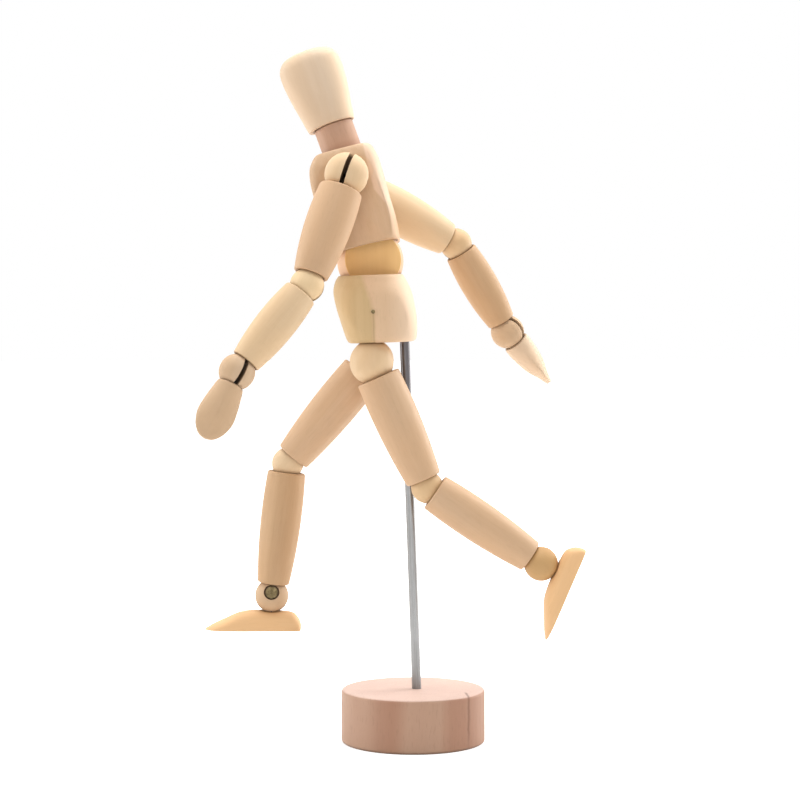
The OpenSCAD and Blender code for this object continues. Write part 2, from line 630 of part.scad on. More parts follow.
module chest() {
    z1 = chest_rise;
    h = chest_h;
    b = chest_bottom_w / 2;
    w = chest_shoulder_w / 2;
    t = chest_top_w / 2;
    tilt = atan((chest_flat_high - chest_flat_low) / (shoulder_z - z1));
    stations = [
        [z1, b - 1, 0.9 - chest_low_front, chest_back - 1.4, 6],
        [z1 + 1.2, b, -chest_low_front, chest_back - 0.6, 7],
        [z1 + 0.25 * h, (b + w) / 2 + 0.4, -(chest_low_front + chest_breast) / 2 - 0.4, chest_back, 7.5],
        [z1 + 0.48 * h, w - 0.3, -chest_breast + 0.2, chest_back - 0.4, 8],
        [z1 + 0.7 * h, w, -chest_breast, chest_back - 0.6, 8],
        [z1 + 0.86 * h, w - 0.6, -chest_breast + 0.8, chest_back - 0.8, 7],
        [z1 + 0.96 * h, w - 2, -chest_top_front - 1.4, chest_top_back + 1, 5.4],
        [z1 + h, t, -chest_top_front, chest_top_back, 4.4]];
    color(wood_pale) multmatrix(chest_at) difference() {
        carved(stations, 36, 20);
        for (s = [-1, 1]) translate([s * chest_flat_low, -chest_shoulder_w, z1]) rotate([0, s * tilt, 0])
            translate([s > 0 ? 0 : -w, 0, -h]) cube([w, 2 * chest_shoulder_w, 3 * h]);
        sphere(r = waist_r + cup_gap);
        translate([0, -neck_y, neck_z]) sphere(r = neck_dome_r + cup_gap);
        cylinder(r = spine_bore_r, h = neck_z);
        translate([-chest_shoulder_w, shoulder_y, shoulder_z]) rotate([0, 90, 0])
            cylinder(r = bore_r, h = 2 * chest_shoulder_w);
        for (s = [-1, 1]) {
            translate([s * shoulder_x, shoulder_y, shoulder_z]) sphere(r = shoulder_r + cup_gap);
            translate([s * (shoulder_floor + dish_step + shoulder_dish_r), shoulder_y, shoulder_z])
                sphere(r = shoulder_dish_r, $fn = 96);
        }
    }
}

module shoulder_spring() {
    side = [shoulder_x, shoulder_y, shoulder_z];
    other = [-shoulder_x, shoulder_y, shoulder_z];
    p1 = way_in(turn_x(pose_left_swing), [0, 1, 0]);
    p2 = way_in(turn_x(pose_right_swing), [0, 1, 0]);
    end = shoulder_x - shoulder_r - over;
    color(steel) multmatrix(chest_at)
        spring(side - eye_side * p1, [-1, 0, 0], p1, other - eye_side * p2, [1, 0, 0], p2,
            [[end, shoulder_y, shoulder_z], [0, shoulder_y, shoulder_z], [-end, shoulder_y, shoulder_z]],
            [[0.26, 0.44], [0.56, 0.74]], 5);
}

module spine_spring() {
    low = point_in(pelvis_at, [0, pelvis_pin_y, pelvis_pin_z]);
    middle = point_in(waist_at, [0, 0, 0]);
    belly = point_in(chest_at, [0, 0, chest_rise + belly_rise]);
    breast = point_in(chest_at, [0, -neck_y - over, shoulder_z]);
    throat = point_in(neck_at, [0, 0, 0]);
    high = point_in(head_at, [0, 0, head_pin_z]);
    color(steel) spring(low, way_in(pelvis_at, [0, 0, 1]), way_in(pelvis_at, [1, 0, 0]),
        high, way_in(head_at, [0, 0, -1]), way_in(head_at, [1, 0, 0]),
        [middle, belly, breast, throat], [[0.06, 0.54], [0.66, 0.95]], 16);
}

module neck() {
    color(wood_pink) multmatrix(neck_at) difference() {
        intersection() {
            union() {
                sphere(r = neck_dome_r);
                translate([0, 0, neck_rise]) sphere(r = neck_dome_r);
            }
            cylinder(r = neck_d / 2, h = 4 * neck_dome_r, center = true);
        }
        cylinder(r = spine_bore_r, h = 4 * neck_dome_r, center = true);
    }
}

module head() {
    z1 = head_base;
    h = head_h;
    w = head_w / 2;
    d = head_depth / 2;
    r = head_low_d / 2;
    f = head_forward;
    stations = [
        [z1, r - 0.8, -r + 0.6 - f, r - 0.8 - f, 2.1],
        [z1 + 0.9, r - 0.2, -r - f, r - f, 2.1],
        [z1 + 0.22 * h, (r + w) / 2 - 0.4, -(r + d) / 2 + 0.4 - f, (r + d) / 2 - 0.5 - f, 2.2],
        [z1 + 0.45 * h, w - 0.5, -d + 0.6 - f, d - 0.7 - f, 2.3],
        [z1 + 0.68 * h, w, -d - 0.2 - f, d - 0.1 - f, 2.4],
        [z1 + 0.84 * h, w - 0.5, -d + 0.1 - f, d - 0.3 - f, 2.4],
        [z1 + 0.94 * h, w - 2.6, -d + 2.2 - f, d - 2.3 - f, 2.3],
        [z1 + 0.985 * h, w - 5.6, -d + 5.2 - f, d - 5.5 - f, 2.2],
        [z1 + h, 3.4, -5 - f, 4 - f, 2]];
    color(wood_pale) multmatrix(head_at) difference() {
        carved(stations, 36, 22);
        sphere(r = neck_dome_r + cup_gap);
        cylinder(r = spine_bore_r, h = head_pin_z + pin_room);
        translate([-w, 0, head_pin_z]) rotate([0, 90, 0])
            cylinder(r = pin_r + drive_gap, h = head_w - head_pin_blind);
    }
}

module head_pin() {
    color(steel) multmatrix(head_at) translate([head_pin_sink - head_w / 2, 0, head_pin_z])
        rotate([0, 90, 0]) cylinder(r = pin_r, h = head_w - head_pin_sink - head_pin_blind - tiny);
}

// Arms

module shoulder_ball(s) {
    color(wood_pale) multmatrix(shoulder_at(s)) rotate([0, -90 * s, 0]) rotate([0, 0, 90])
        slotted_ball(shoulder_r, slot_past, 1);
}

module shoulder_pin(s) {
    color(steel) multmatrix(shoulder_at(s)) rotate([0, -90 * s, 0]) rotate([0, 0, 90])
        cross_pin(shoulder_r, 1);
}

module upper_arm(s) {
    color(wood_pale) multmatrix(upper_arm_at(s))
        limb(upper_arm_len, arm_top_gap, arm_low_gap, arm_top_d, arm_mid_d, arm_low_d, shoulder_r, elbow_r);
}

module upper_arm_spring(s) {
    multmatrix(upper_arm_at(s))
        limb_spring(upper_arm_len, [0, 1, 0], [0, 0, 1], [1, 0, 0], shoulder_r, elbow_r, 6);
}

module elbow_ball(s) {
    color(wood_pale) multmatrix(elbow_at(s)) slotted_ball(elbow_r, slot_past);
}

module elbow_pin(s) {
    color(steel) multmatrix(elbow_at(s)) cross_pin(elbow_r);
}

module forearm(s) {
    color(wood_pale) multmatrix(forearm_at(s))
        limb(forearm_len, forearm_top_gap, forearm_low_gap, forearm_top_d, forearm_mid_d, forearm_low_d,
            elbow_r, wrist_r);
}

module forearm_spring(s) {
    multmatrix(forearm_at(s)) limb_spring(forearm_len, [1, 0, 0], way_in(wrist_tilt(s), [0, 0, 1]),
        way_in(wrist_tilt(s), [1, 0, 0]), elbow_r, wrist_r, 6);
}

module wrist_ball(s) {
    color(wood_pale) multmatrix(wrist_at(s)) slotted_ball(wrist_r, forearm_low_gap + 0.2, s);
}

module wrist_pin(s) {
    color(steel) multmatrix(wrist_at(s)) cross_pin(wrist_r, s);
}

module hand(s) {
    w = hand_w / 2;
    k = hand_thick / 2;
    e = hand_tip_thick / 2;
    l = hand_len;
    stations = [
        [-l, 1.2, -0.9 * e, 0.9 * e, 1.8],
        [-l + 0.5, 2.7, -e, e, 1.7],
        [-l + 1.8, 4.4, -1.3 * e, 1.3 * e, 1.6],
        [-l + 4.8, w - 1.3, -2 * e, 2 * e, 1.5],
        [-l + 9.5, w, -(2 * k + e) / 3, (2 * k + e) / 3, 1.5],
        [-l + 15, w - 0.4, -k + 0.5, k - 0.5, 1.6],
        [-l + 20, w - 1.3, -k, k, 1.8],
        [-hand_gap - 1, w - 2, -k, k, 2.1],
        [-hand_gap, w - 2.6, -k + 0.5, k - 0.5, 2.1]];
    color(wood_pale) multmatrix(hand_at(s)) difference() {
        carved(stations, 28, 16);
        sphere(r = wrist_r + cup_gap);
        rotate([0, 0, -hand_grip(s)]) shank_hole(hand_shank);
    }
}

module hand_eye(s) {
    color(steel) multmatrix(wrist_at(s)) eye_screw(hand_shank);
}

// Legs

module hip_ball(s) {
    color(wood_pale) multmatrix(hip_at(s)) slotted_ball(hip_r, slot_past);
}

module hip_pin(s) {
    color(steel) multmatrix(hip_at(s)) cross_pin(hip_r);
}

module thigh(s) {
    color(wood_pink) multmatrix(thigh_at(s))
        limb(thigh_len, thigh_top_gap, thigh_low_gap, thigh_top_d, thigh_mid_d, thigh_low_d, hip_r, knee_r);
}

module thigh_spring(s) {
    multmatrix(thigh_at(s)) limb_spring(thigh_len, [1, 0, 0], [0, 0, 1], [1, 0, 0], hip_r, knee_r, 7);
}

module knee_ball(s) {
    color(wood_pale) multmatrix(knee_at(s)) slotted_ball(knee_r, slot_past);
}

module knee_pin(s) {
    color(steel) multmatrix(knee_at(s)) cross_pin(knee_r);
}

module shin(s) {
    color(wood_pink) multmatrix(shin_at(s))
        limb(shin_len, shin_top_gap, shin_low_gap, shin_top_d, shin_mid_d, shin_low_d, knee_r, ankle_r);
}

module shin_spring(s) {
    multmatrix(shin_at(s)) limb_spring(shin_len, [1, 0, 0], way_in(turn_y(ankle_roll(s)), [0, 0, 1]),
        way_in(turn_y(ankle_roll(s)), [1, 0, 0]), knee_r, ankle_r, 7);
}

// The ankle's screw goes in from the inner side, its head in a round seat
module ankle_ball(s) {
    color(wood_pale) multmatrix(ankle_at(s)) difference() {
        slotted_ball(ankle_r, slot_past, -s);
        rotate([0, -90 * s, 0]) translate([0, 0, screw_seat])
            cylinder(r = screw_head_d / 2 + screw_play, h = ankle_r);
    }
}

module ankle_screw(s) {
    color(steel) multmatrix(ankle_at(s)) rotate([0, -90 * s, 0]) difference() {
        union() {
            translate([0, 0, -ankle_r + pin_blind + tiny])
                cylinder(r = pin_r, h = ankle_r - pin_blind + screw_seat);
            translate([0, 0, screw_seat + tiny]) cylinder(r = screw_head_d / 2, h = screw_head_h);
        }
        translate([-screw_head_d, -screw_slot_w / 2, screw_seat + 0.6 * screw_head_h])
            cube([2 * screw_head_d, screw_slot_w, screw_head_h]);
    }
}

module foot(s) {
    w = foot_w / 2;
    k = foot_heel_w / 2;
    h = foot_h;
    e = foot_toe_h;
    l = foot_len;
    deep = -3;
    stations = [
        [0, k - 2.2, deep, h - 5.6, 2.6],
        [1, k - 1, deep, h - 3.2, 2.7],
        [0.1 * l, k - 0.2, deep, h - 0.5, 2.8],
        [0.3 * l, (k + w) / 2 - 0.3, deep, h + 0.2, 2.8],
        [0.5 * l, w - 0.4, deep, h + 0.2, 2.7],
        [0.65 * l, w, deep, h - 0.8, 2.6],
        [0.8 * l, w - 0.3, deep, 0.5 * h + 0.6, 2.5],
        [0.92 * l, w - 1.7, deep, e + 1.5, 2.4],
        [l - 0.9, w - 3.6, deep, e + 0.1, 2.3],
        [l, w - 5, deep, e - 0.4, 2.2]];
    color(wood_tan) multmatrix(foot_at(s)) difference() {
        translate([0, foot_heel, -ankle_h]) rotate([90, 0, 0]) carved(stations, 30, 18);
        translate([-foot_w, -2 * foot_len, -ankle_h - 2 * foot_h])
            cube([2 * foot_w, 4 * foot_len, 2 * foot_h]);
        sphere(r = ankle_r + cup_gap);
        multmatrix(turn_x(-foot_bend(s)) * turn_y(ankle_roll(s)) * turn_x(foot_bend(s)))
            shank_hole(foot_shank);
    }
}

module foot_eye(s) {
    color(steel) multmatrix(foot_eye_at(s)) eye_screw(foot_shank);
}

base();
stand_rod();
pelvis();
pelvis_pin();
hip_springs();
waist();
spine_spring();
chest();
shoulder_spring();
neck();
head();
head_pin();
shoulder_ball(1);  // left_shoulder_ball
shoulder_pin(1);  // left_shoulder_pin
upper_arm(1);  // left_upper_arm
upper_arm_spring(1);  // left_upper_arm_spring
elbow_ball(1);  // left_elbow_ball
elbow_pin(1);  // left_elbow_pin
forearm(1);  // left_forearm
forearm_spring(1);  // left_forearm_spring
wrist_ball(1);  // left_wrist_ball
wrist_pin(1);  // left_wrist_pin
hand(1);  // left_hand
hand_eye(1);  // left_hand_eye
shoulder_ball(-1);  // right_shoulder_ball
shoulder_pin(-1);  // right_shoulder_pin
upper_arm(-1);  // right_upper_arm
upper_arm_spring(-1);  // right_upper_arm_spring
elbow_ball(-1);  // right_elbow_ball
elbow_pin(-1);  // right_elbow_pin
forearm(-1);  // right_forearm
forearm_spring(-1);  // right_forearm_spring
wrist_ball(-1);  // right_wrist_ball
wrist_pin(-1);  // right_wrist_pin
hand(-1);  // right_hand
hand_eye(-1);  // right_hand_eye
hip_ball(1);  // left_hip_ball
hip_pin(1);  // left_hip_pin
thigh(1);  // left_thigh
thigh_spring(1);  // left_thigh_spring
knee_ball(1);  // left_knee_ball
knee_pin(1);  // left_knee_pin
shin(1);  // left_shin
shin_spring(1);  // left_shin_spring
ankle_ball(1);  // left_ankle_ball
ankle_screw(1);  // left_ankle_screw
foot(1);  // left_foot
foot_eye(1);  // left_foot_eye
hip_ball(-1);  // right_hip_ball
hip_pin(-1);  // right_hip_pin
thigh(-1);  // right_thigh
thigh_spring(-1);  // right_thigh_spring
knee_ball(-1);  // right_knee_ball
knee_pin(-1);  // right_knee_pin
shin(-1);  // right_shin
shin_spring(-1);  // right_shin_spring
ankle_ball(-1);  // right_ankle_ball
ankle_screw(-1);  // right_ankle_screw
foot(-1);  // right_foot
foot_eye(-1);  // right_foot_eye
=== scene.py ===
import json
import math

import bmesh
import bpy
import numpy as np
from mathutils import Matrix, Vector


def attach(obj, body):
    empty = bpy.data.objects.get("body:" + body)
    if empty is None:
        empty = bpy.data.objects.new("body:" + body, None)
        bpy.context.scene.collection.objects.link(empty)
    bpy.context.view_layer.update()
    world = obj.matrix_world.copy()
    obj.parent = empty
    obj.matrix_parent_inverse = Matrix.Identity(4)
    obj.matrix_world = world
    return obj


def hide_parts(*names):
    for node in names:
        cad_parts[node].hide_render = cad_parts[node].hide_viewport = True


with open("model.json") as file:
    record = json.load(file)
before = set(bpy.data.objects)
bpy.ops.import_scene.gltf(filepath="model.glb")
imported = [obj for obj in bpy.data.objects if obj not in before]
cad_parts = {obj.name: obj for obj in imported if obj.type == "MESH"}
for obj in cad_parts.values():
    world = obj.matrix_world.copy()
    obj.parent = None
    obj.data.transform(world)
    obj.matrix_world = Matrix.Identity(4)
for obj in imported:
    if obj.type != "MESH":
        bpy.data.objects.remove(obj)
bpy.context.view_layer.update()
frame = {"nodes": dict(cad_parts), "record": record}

MM = 0.001
nodes = frame["nodes"]
node_body = {n: b for b, ns in frame["record"]["behaviour"]["bodies"].items() for n in ns}
slots = {p["node"]: p["material_slot"] for p in frame["record"]["subparts"]}

# Sizes in millimetres, as in the part's source
BASE_TOP = 22.5
ROD_BACK = 1.5  # the rod's foot behind the base's centre
ROD_FREE = 148.2  # from the base's top to the pelvis
ROD_BEHIND = 14.1  # the rod behind the pelvis's middle
WAIST = (0, 0.8, 34.1)  # in the pelvis
NECK = (0, -0.6, 52.25)  # in the chest
NECK_RISE = 2
SHOULDER = (27, 0.8, 34.4)  # in the chest
HIP = (13, 0, -8.2)  # in the pelvis
UPPER_ARM, FOREARM, THIGH, SHIN = 50, 45.8, 57.2, 57.6  # from ball to ball

# Radii of the cups that hold the balls, of the bores and of the pin holes
WAIST_CUP, NECK_CUP = 14.3, 10.1
SHOULDER_CUP, ELBOW_CUP, WRIST_CUP = 9.4, 7.3, 7.7
HIP_CUP, KNEE_CUP, ANKLE_CUP = 9.5, 7.1, 7.5
SPINE_BORE, SHOULDER_BORE, HIP_BORE = 3.4, 2.5, 2.8
ROD_HOLE, PIN_HOLE = 2.05, 0.82

# Angles of the stride in degrees, those of the limbs for the left (1) and the right (-1) side
ROD_LEAN, PELVIS_TURN, WAIST_TURN = 2, -5, 10
LEAN, BEND, CHEST_TURN, NOD = -5, 12, -4, 6
SWING = {1: -32, -1: 47.6}
LIFT = {1: 13, -1: 18}
ELBOW_BEND = {1: -19, -1: -30}
WRIST_BEND = {1: 13, -1: 9}
PALM = {1: 118, -1: -42}
GRIP = {1: -20, -1: 38}
THIGH_SWING = {1: 22, -1: -41.5}
KNEE_BEND = {1: 32, -1: 32.5}
FOOT_BEND = {1: 10.5, -1: 6.5}
ANKLE_ROLL = {1: 0, -1: -20}


# Places of the pieces in the stride, in millimetres
def shift(x, y, z):
    return Matrix.Translation((x, y, z))


def turn(axis, degrees):
    return Matrix.Rotation(math.radians(degrees), 4, axis)


def mirrored(point, s):
    return (point[0] * s, point[1], point[2])


rod_at = shift(0, ROD_BACK, BASE_TOP) @ turn("X", ROD_LEAN)
pelvis_at = rod_at @ shift(0, 0, ROD_FREE) @ turn("Z", PELVIS_TURN) @ shift(0, -ROD_BEHIND, 0)
waist_at = pelvis_at @ shift(*WAIST) @ turn("Y", LEAN)
chest_at = waist_at @ turn("X", BEND) @ turn("Z", CHEST_TURN)
neck_at = chest_at @ shift(*NECK) @ turn("X", NOD)
head_at = neck_at @ shift(0, 0, NECK_RISE)
at = {"base": shift(0, 0, 0), "stand_rod": rod_at, "pelvis": pelvis_at,
      "waist": waist_at @ turn("Z", WAIST_TURN), "chest": chest_at, "neck": neck_at, "head": head_at}
for s, side in ((1, "left_"), (-1, "right_")):
    shoulder = chest_at @ shift(*mirrored(SHOULDER, s)) @ turn("X", SWING[s])
    upper_arm = shoulder @ turn("Y", -LIFT[s] * s)
    elbow = upper_arm @ shift(0, 0, -UPPER_ARM)
    forearm = elbow @ turn("X", ELBOW_BEND[s])
    wrist = forearm @ shift(0, 0, -FOREARM) @ turn("X", WRIST_BEND[s]) @ turn("Z", PALM[s])
    hand = wrist @ turn("Z", GRIP[s])
    hip = pelvis_at @ shift(*mirrored(HIP, s))
    thigh = hip @ turn("X", THIGH_SWING[s])
    knee = thigh @ shift(0, 0, -THIGH)
    shin = knee @ turn("X", KNEE_BEND[s])
    ankle = shin @ shift(0, 0, -SHIN) @ turn("Y", ANKLE_ROLL[s])
    foot = ankle @ turn("Y", -ANKLE_ROLL[s]) @ turn("X", FOOT_BEND[s])
    limbs = {"shoulder_ball": shoulder, "upper_arm": upper_arm, "elbow_ball": elbow, "forearm": forearm,
             "wrist_ball": wrist, "hand": hand, "hip_ball": hip, "thigh": thigh, "knee_ball": knee,
             "shin": shin, "ankle_ball": ankle, "foot": foot}
    at.update({side + n: place for n, place in limbs.items()})


# Small helpers for shader nodes
def link(tree, a, b):
    tree.links.new(a, b)


def new_material(name):
    m = bpy.data.materials.new(name)
    m.use_nodes = True
    t = m.node_tree
    return m, t, t.nodes["Principled BSDF"]


def node(tree, kind, **settings):
    n = tree.nodes.new(kind)
    for k, v in settings.items():
        if k in n.inputs:
            n.inputs[k].default_value = v
        else:
            setattr(n, k, v)
    return n


def scaled(tree, vector, scale, offset=(0, 0, 0)):
    n = node(tree, "ShaderNodeMapping")
    n.inputs["Scale"].default_value = scale
    n.inputs["Location"].default_value = offset
    link(tree, vector, n.inputs["Vector"])
    return n.outputs["Vector"]


def noise(tree, vector, detail=4.0, rough=0.55):
    n = node(tree, "ShaderNodeTexNoise", Scale=1.0, Detail=detail, Roughness=rough, Distortion=0.0)
    link(tree, vector, n.inputs["Vector"])
    return n.outputs["Fac"]


def ranged(tree, value, a, b, c, d):
    """The value taken from the range a to b into the range c to d."""
    n = node(tree, "ShaderNodeMapRange")
    for k, v in zip(("From Min", "From Max", "To Min", "To Max"), (a, b, c, d)):
        n.inputs[k].default_value = v
    link(tree, value, n.inputs["Value"])
    return n.outputs["Result"]


def between(tree, place, low, high, c, d):
    """The same for a place or a distance, with low and high in millimetres."""
    return ranged(tree, place, low * MM, high * MM, c, d)


def mixed(tree, factor, a, b):
    n = node(tree, "ShaderNodeMix", data_type="RGBA", blend_type="MIX")
    link(tree, factor, n.inputs["Factor"])
    for value, key in ((a, "A"), (b, "B")):
        socket = [i for i in n.inputs if i.name == key and i.type == "RGBA"][0]
        if isinstance(value, tuple):
            socket.default_value = (*value, 1)
        else:
            link(tree, value, socket)
    return [o for o in n.outputs if o.type == "RGBA"][0]


def calc(tree, op, a, b):
    n = node(tree, "ShaderNodeMath", operation=op)
    for i, v in enumerate((a, b)):
        if isinstance(v, (int, float)):
            n.inputs[i].default_value = v
        else:
            link(tree, v, n.inputs[i])
    return n.outputs[0]


def size_of(tree, value):
    return calc(tree, "ABSOLUTE", value, 0.0)


def spot(tree, vector, axis):
    n = node(tree, "ShaderNodeSeparateXYZ")
    link(tree, vector, n.inputs[0])
    return n.outputs[axis]


def near(tree, vector, centre):
    n = node(tree, "ShaderNodeVectorMath", operation="DISTANCE")
    link(tree, vector, n.inputs[0])
    n.inputs[1].default_value = centre
    return n.outputs["Value"]


def in_piece(tree, place):
    """Coordinates in the piece's own frame, in metres."""
    coord = node(tree, "ShaderNodeTexCoord")
    local = node(tree, "ShaderNodeMapping", vector_type="TEXTURE")
    local.inputs["Location"].default_value = place.to_translation() * MM
    local.inputs["Rotation"].default_value = place.to_euler()
    link(tree, coord.outputs["Object"], local.inputs["Vector"])
    return local.outputs["Vector"]


def times(colour, factors):
    return tuple(c * k for c, k in zip(colour, factors))


# Layers of the grain: scale across, across and along the piece, detail and roughness
WANDER = ((70, 70, 8), 2.0, 0.5)
STREAK = ((420, 420, 12), 4.0, 0.5)
FINE = ((2600, 2600, 110), 3.0, 0.6)
BROAD = ((44, 44, 16), 2.0, 0.5)
SPECK = ((1500, 1500, 240), 1.0, 0.4)

# Shares of a wood's colour in its pale and warm places and in the painted shade at the seams around its
# cups, and the colour of the painted shade inside a ball's slot
PALE, WARM, SEAM_SHADE = (1.03, 1.04, 1.06), (1.02, 0.96, 0.89), (0.30, 0.22, 0.15)
FIGURE = (0.13, 0.18, 0.23)
FLECK = 0.62
SLOT_SHADE = (0.14, 0.085, 0.045)


def wood(name, place, colour, seed, figure, flecks, along, zones, cups, cut, soft):
    """Sanded wood whose grain runs along one axis of the piece, with painted shade darkening it around
    its cups and inside a ball's slot.
    """
    m, t, shader = new_material(name)
    grain = in_piece(t, place @ {"Z": turn("X", 0), "Y": turn("X", 90)}[along])
    shake = (seed * 0.731 % 1.0, seed * 0.417 % 1.0, seed * 0.259 % 1.0)
    wander, streak, fine, broad, speck = (
        noise(t, scaled(t, grain, scale, shake), detail, rough)
        for scale, detail, rough in (WANDER, STREAK, FINE, BROAD, SPECK))

    tone = calc(t, "ADD", calc(t, "MULTIPLY", streak, 0.35), calc(t, "MULTIPLY", fine, 0.15))
    tone = calc(t, "ADD", tone, calc(t, "MULTIPLY", wander, 0.7))
    deep = times(colour, [1 - k * figure for k in FIGURE])
    shade = mixed(t, ranged(t, tone, 0.46, 0.76, 0.0, 1.0), times(colour, PALE), deep)
    shade = mixed(t, ranged(t, broad, 0.40, 0.64, 0.0, 0.7), shade, times(colour, WARM))
    for factor, tint in (zones(t, grain) if zones else ()):
        shade = mixed(t, factor, shade, tint)
    dash = ranged(t, speck, 0.60, 0.70, 0.0, 0.26 * flecks)
    shade = mixed(t, dash, shade, tuple(c * FLECK for c in deep))
    # Painted shade: a dark ring on the wood around each cup, where the seam to its ball lies
    for centre, radius in cups:
        cup_seam_shade = between(t, near(t, grain, Vector(centre) * MM), radius + 0.35, radius + 0.9, 0.72, 0.0)
        shade = mixed(t, cup_seam_shade, shade, times(colour, SEAM_SHADE))
    # Painted shade: the wood inside a ball, in its slot and holes, painted nearly black
    if cut:
        slot_shade_mask = between(t, near(t, grain, (0, 0, 0)), cut - 1.4, cut - 0.25, 0.95, 0.0)
        shade = mixed(t, slot_shade_mask, shade, SLOT_SHADE)
    link(t, shade, shader.inputs["Base Color"])
    worn = ranged(t, calc(t, "ADD", streak, fine), 0.7, 1.3, 0.50, 0.66)
    link(t, worn, shader.inputs["Roughness"])
    shader.inputs["Specular IOR Level"].default_value = 0.3

    bump = node(t, "ShaderNodeBump", Strength=0.3, Distance=0.07 * MM)
    link(t, calc(t, "SUBTRACT", calc(t, "ADD", fine, streak), dash), bump.inputs["Height"])
    if soft:
        rounded = node(t, "ShaderNodeBevel", samples=6, Radius=soft * MM)
        link(t, rounded.outputs["Normal"], bump.inputs["Normal"])
    link(t, bump.outputs["Normal"], shader.inputs["Normal"])
    return m


def metal(name, place, pale, dark, rough, stretch, shadow=None):
    """Drawn steel with fine lines along the piece and faint tarnish, darker toward one end."""
    m, t, shader = new_material(name)
    local = in_piece(t, place)
    lines = noise(t, scaled(t, local, stretch), 4.0, 0.6)
    stain = noise(t, scaled(t, local, (160, 160, 70)), 3.0, 0.6)
    tarnish = calc(t, "ADD", calc(t, "MULTIPLY", lines, 0.5), calc(t, "MULTIPLY", stain, 0.5))
    shade = mixed(t, ranged(t, tarnish, 0.35, 0.65, 0, 1), pale, dark)
    if shadow:
        low, high, tint = shadow
        shade = mixed(t, between(t, spot(t, local, "Z"), low, high, 0.0, 0.85), shade, tint)
    link(t, shade, shader.inputs["Base Color"])
    shader.inputs["Metallic"].default_value = 1.0
    link(t, ranged(t, lines, 0.3, 0.7, rough - 0.07, rough + 0.09), shader.inputs["Roughness"])
    bump = node(t, "ShaderNodeBump", Strength=0.25, Distance=0.03 * MM)
    link(t, lines, bump.inputs["Height"])
    link(t, bump.outputs["Normal"], shader.inputs["Normal"])
    return m


# Zones of a piece: pairs of a strength and a colour, laid over its grain in turn

# The pelvis is yellower in front of its ridge and painted pinker and lighter behind it, paler still at
# its back, all painted light where its rear faces the right lamp, with a painted shade low along the
# ridge
def pelvis_zones(t, v):
    ridge, crease_top, slant, sway = 2.1, 13, 0.27, 1.2
    y, z = spot(t, v, "Y"), spot(t, v, "Z")
    rise = calc(t, "MAXIMUM", calc(t, "SUBTRACT", z, crease_top * MM), 0.0)
    edge = calc(t, "ADD", y, calc(t, "MULTIPLY", rise, slant))
    edge = calc(t, "ADD", edge, calc(t, "MULTIPLY", noise(t, scaled(t, v, (40, 40, 90))), sway * MM))
    # Painted light: lighter and pinker behind the ridge, and paler still at the back
    yield between(t, edge, 1.0, 3.4, 0.0, 0.75), (0.74, 0.51, 0.335)
    yield between(t, y, 7, 16, 0.0, 0.6), (0.88, 0.67, 0.49)
    # Painted shade: a dark line low along the ridge
    line = between(t, size_of(t, calc(t, "SUBTRACT", edge, ridge * MM)), 0.1, 0.6, 0.38, 0.0)
    low = between(t, z, crease_top - 1, crease_top + 2, 1.0, 0.0)
    yield calc(t, "MULTIPLY", line, low), (0.34, 0.21, 0.10)


# The waist's sawn sides are amber, its turned front and back painted pinker as painted light, for the
# light from the left that they catch
def waist_zones(t, v):
    # Painted light: pinker on the round front and back
    yield between(t, size_of(t, spot(t, v, "X")), 7.1, 7.4, 0.85, 0.0), (0.74, 0.47, 0.31)


# Broad upright bands on the base, a top painted paler as painted light, a painted shade along its foot
# where it meets the floor, and one dark check in its side
def base_zones(t, v):
    check_y, sway = 21.9, 1.6
    x, y, z = spot(t, v, "X"), spot(t, v, "Y"), spot(t, v, "Z")
    band = noise(t, scaled(t, v, (62, 62, 3), (0.4, 0.1, 0.2)), 1.0, 0.4)
    yield ranged(t, band, 0.44, 0.54, 0.0, 0.75), (0.387, 0.205, 0.133)
    pale = noise(t, scaled(t, v, (48, 48, 3), (0.9, 0.3, 0.7)), 1.0, 0.4)
    yield ranged(t, pale, 0.52, 0.62, 0.0, 0.7), (0.495, 0.32, 0.224)
    # Painted light: the top face lighter, as if lit from above
    yield between(t, z, BASE_TOP - 0.5, BASE_TOP - 0.1, 0.0, 0.75), (0.80, 0.60, 0.52)
    # Painted shade: darker along the bottom edge, where the base meets the floor
    yield between(t, z, 0.4, 1.3, 0.70, 0.0), (0.16, 0.10, 0.06)
    bend = calc(t, "MULTIPLY", noise(t, scaled(t, v, (60, 60, 160))), sway * MM)
    off = size_of(t, calc(t, "SUBTRACT", calc(t, "ADD", y, bend), check_y * MM))
    line = between(t, off, 0.2, 0.8, 0.65, 0.0)
    side = between(t, x, 10, 14, 0.0, 1.0)
    low = between(t, z, 1, 9, 0.2, 1.0)
    yield calc(t, "MULTIPLY", line, calc(t, "MULTIPLY", side, low)), (0.20, 0.10, 0.06)


# The chest is painted paler behind its flat sides, painted light where its back faces the right lamp,
# in a strip that widens over the shoulder dish and fades out below it
def chest_zones(t, v):
    y, z = spot(t, v, "Y"), spot(t, v, "Z")
    wide = between(t, z, 20, 27, 13.2 * MM, 9.8 * MM)
    lit_strip = between(t, calc(t, "SUBTRACT", y, wide), -0.4, 0.5, 0.0, 0.8)
    yield calc(t, "MULTIPLY", lit_strip, between(t, z, 14, 22, 0.15, 1.0)), (0.78, 0.56, 0.40)


# The head is paler at its back
def head_zones(t, v):
    yield between(t, spot(t, v, "Y"), 4, 12, 0.0, 0.6), (0.90, 0.68, 0.46)


# The neck darkens where it meets the chest, a painted shade
def neck_zones(t, v):
    yield between(t, spot(t, v, "Z"), -5, -1, 0.65, 0.0), (0.37, 0.20, 0.14)


ZONES = {"pelvis": pelvis_zones, "waist": waist_zones, "base": base_zones, "chest": chest_zones,
         "neck": neck_zones, "head": head_zones}


# Centres and radii of the cups in every piece
def limb_cups(top, length, bottom):
    return (((0, 0, 0), top), ((0, 0, -length), bottom))


